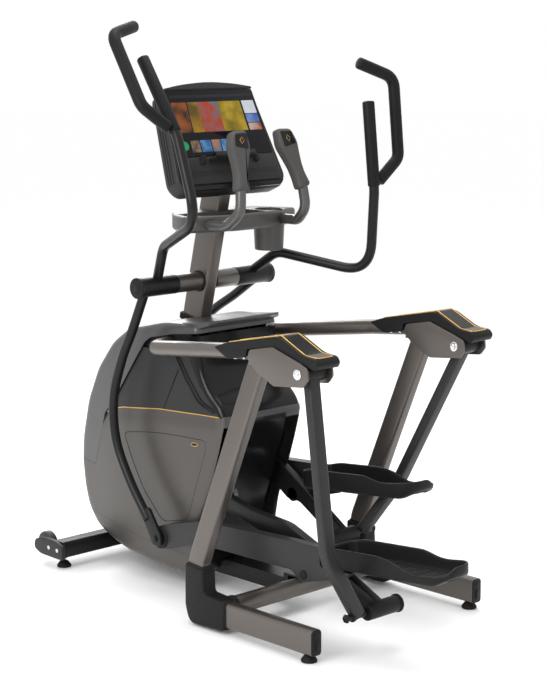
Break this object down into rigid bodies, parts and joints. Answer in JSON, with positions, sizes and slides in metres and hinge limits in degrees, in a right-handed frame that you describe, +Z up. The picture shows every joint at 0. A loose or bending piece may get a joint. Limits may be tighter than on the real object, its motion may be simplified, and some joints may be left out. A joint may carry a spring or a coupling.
{
  "type": "elliptical trainer",
  "caption": "Front-drive elliptical trainer with swing-arm suspended pedals, rocking handles, leaning mast, touch console, covered drive and handrails.",
  "frame": {"origin": "centre of the footprint on the floor, under the middle of the machine's length and width", "axes": "+X to the user's right, +Y forward towards the console, +Z up"},
  "size_m": [0.8826, 1.7876, 1.8335],
  "materials": {
    "titanium_paint": "satin metallic paint in a warm titanium grey",
    "black_paint": "satin black powder coat",
    "charcoal_paint": "satin charcoal powder coat",
    "bar_paint": "satin metallic grey paint",
    "bright_steel": "polished",
    "machined_iron": "machined and oiled",
    "black_rubber": "fine grained rubber",
    "grip_rubber": "soft-touch moulded rubber",
    "black_plastic": "fine textured moulding",
    "charcoal_plastic": "fine textured moulding",
    "taupe_plastic": "satin metallic moulding",
    "grey_plastic": "satin moulding",
    "screen_face": "glossy display face",
    "gold_trim": "gold trim strip"
  },
  "bodies": {
    "frame": {"leg_L": "titanium_paint", "leg_R": "titanium_paint", "upright_L": "titanium_paint", "upright_R": "titanium_paint", "boot_L": "black_plastic", "boot_R": "black_plastic", "rear_foot_L": "black_rubber", "rear_foot_R": "black_rubber", "front_foot_L": "black_rubber", "front_foot_R": "black_rubber", "stabiliser_cap_L": "black_plastic", "stabiliser_cap_R": "black_plastic", "bracket_L": "titanium_paint", "bracket_R": "titanium_paint", "axle_bolt_L": "bright_steel", "axle_bolt_R": "bright_steel", "shoulder_cover_L": "black_plastic", "shoulder_cover_R": "black_plastic", "handrail_L": "titanium_paint", "handrail_R": "titanium_paint", "cover_lower_L": "taupe_plastic", "cover_lower_R": "taupe_plastic", "cover_upper_L": "charcoal_plastic", "cover_upper_R": "charcoal_plastic", "fixed_bar_L": "bar_paint", "fixed_bar_R": "bar_paint", "fixed_grip_L": "grip_rubber", "fixed_grip_R": "grip_rubber", "cross_tube": "titanium_paint", "front_stabiliser": "black_paint", "main_frame": "black_paint", "mast": "titanium_paint", "belt": "black_rubber", "cover_front": "grey_plastic", "cover_rear": "black_plastic", "cover_skirt": "taupe_plastic", "console_housing": "charcoal_plastic", "screen": "screen_face", "control_panel": "black_plastic", "tray_and_cup": "charcoal_plastic"},
    "handle_left": {"handle_lower_L": "black_paint", "handle_upper_L": "black_paint", "handle_grip_L": "black_rubber"},
    "handle_right": {"handle_lower_R": "black_paint", "handle_upper_R": "black_paint", "handle_grip_R": "black_rubber"},
    "swing_left": {"swing_arm_L": "charcoal_paint"},
    "swing_right": {"swing_arm_R": "charcoal_paint"},
    "link_left": {"link_L": "black_paint"},
    "link_right": {"link_R": "black_paint"},
    "pedal_left": {"pedal_arm_L": "charcoal_paint", "pedal_tray_L": "black_plastic", "pedal_mat_L": "black_rubber"},
    "pedal_right": {"pedal_arm_R": "charcoal_paint", "pedal_tray_R": "black_plastic", "pedal_mat_R": "black_rubber"},
    "crank": {"crankset": "machined_iron"},
    "flywheel": {"flywheel": "machined_iron"},
    "wheel_left": {"transport_wheel_L": "black_rubber"},
    "wheel_right": {"transport_wheel_R": "black_rubber"}
  },
  "joints": [
    {"name": "handle_left_swing", "type": "hinge", "parent": "frame", "child": "handle_left", "pos_m": [0, 0.35, 0.999], "axis": [1, 0, 0], "range_deg": [0, 30.6]},
    {"name": "handle_right_swing", "type": "hinge", "parent": "frame", "child": "handle_right", "pos_m": [0, 0.35, 0.999], "axis": [1, 0, 0], "range_deg": [-30.6, 0]},
    {"name": "swing_arm_left_pivot", "type": "hinge", "parent": "frame", "child": "swing_left", "pos_m": [0, -0.473, 0.846], "axis": [1, 0, 0], "range_deg": [0, 35.31]},
    {"name": "swing_arm_right_pivot", "type": "hinge", "parent": "frame", "child": "swing_right", "pos_m": [0, -0.473, 0.846], "axis": [1, 0, 0], "range_deg": [-35.31, 0]},
    {"name": "link_left_pivot", "type": "hinge", "parent": "swing_left", "child": "link_left", "pos_m": [0, -0.57, 0.13], "axis": [1, 0, 0], "range_deg": [-27.81, 0]},
    {"name": "link_right_pivot", "type": "hinge", "parent": "swing_right", "child": "link_right", "pos_m": [0, -0.13842, 0.20559], "axis": [1, 0, 0], "range_deg": [0, 27.81]},
    {"name": "pedal_left_pivot", "type": "hinge", "parent": "link_left", "child": "pedal_left", "pos_m": [0, -0.34302, 0.20157], "axis": [1, 0, 0], "range_deg": [-8.53, 0]},
    {"name": "pedal_right_pivot", "type": "hinge", "parent": "link_right", "child": "pedal_right", "pos_m": [0, 0.07728, 0.30618], "axis": [1, 0, 0], "range_deg": [0, 8.53]},
    {"name": "crank_turn", "type": "hinge", "parent": "frame", "child": "crank", "pos_m": [0, 0.30796, 0.4253], "axis": [1, 0, 0], "continuous": true},
    {"name": "flywheel_spin", "type": "hinge", "parent": "frame", "child": "flywheel", "pos_m": [0, 0.68, 0.33], "axis": [1, 0, 0], "continuous": true},
    {"name": "transport_wheel_left_spin", "type": "hinge", "parent": "frame", "child": "wheel_left", "pos_m": [0, 0.854, 0.066], "axis": [1, 0, 0], "continuous": true},
    {"name": "transport_wheel_right_spin", "type": "hinge", "parent": "frame", "child": "wheel_right", "pos_m": [0, 0.854, 0.066], "axis": [1, 0, 0], "continuous": true}
  ],
  "couplings": [
    {"joint": "handle_right_swing", "follows": "handle_left_swing", "ratio": -1},
    {"joint": "swing_arm_left_pivot", "follows": "handle_left_swing", "ratio": 1.1536},
    {"joint": "swing_arm_right_pivot", "follows": "handle_left_swing", "ratio": -1.1536},
    {"joint": "link_left_pivot", "follows": "handle_left_swing", "ratio": -0.9085},
    {"joint": "link_right_pivot", "follows": "handle_left_swing", "ratio": 0.9085},
    {"joint": "pedal_left_pivot", "follows": "handle_left_swing", "ratio": -0.27841},
    {"joint": "pedal_right_pivot", "follows": "handle_left_swing", "ratio": 0.27841},
    {"joint": "flywheel_spin", "follows": "crank_turn", "ratio": 4.6875}
  ]
}
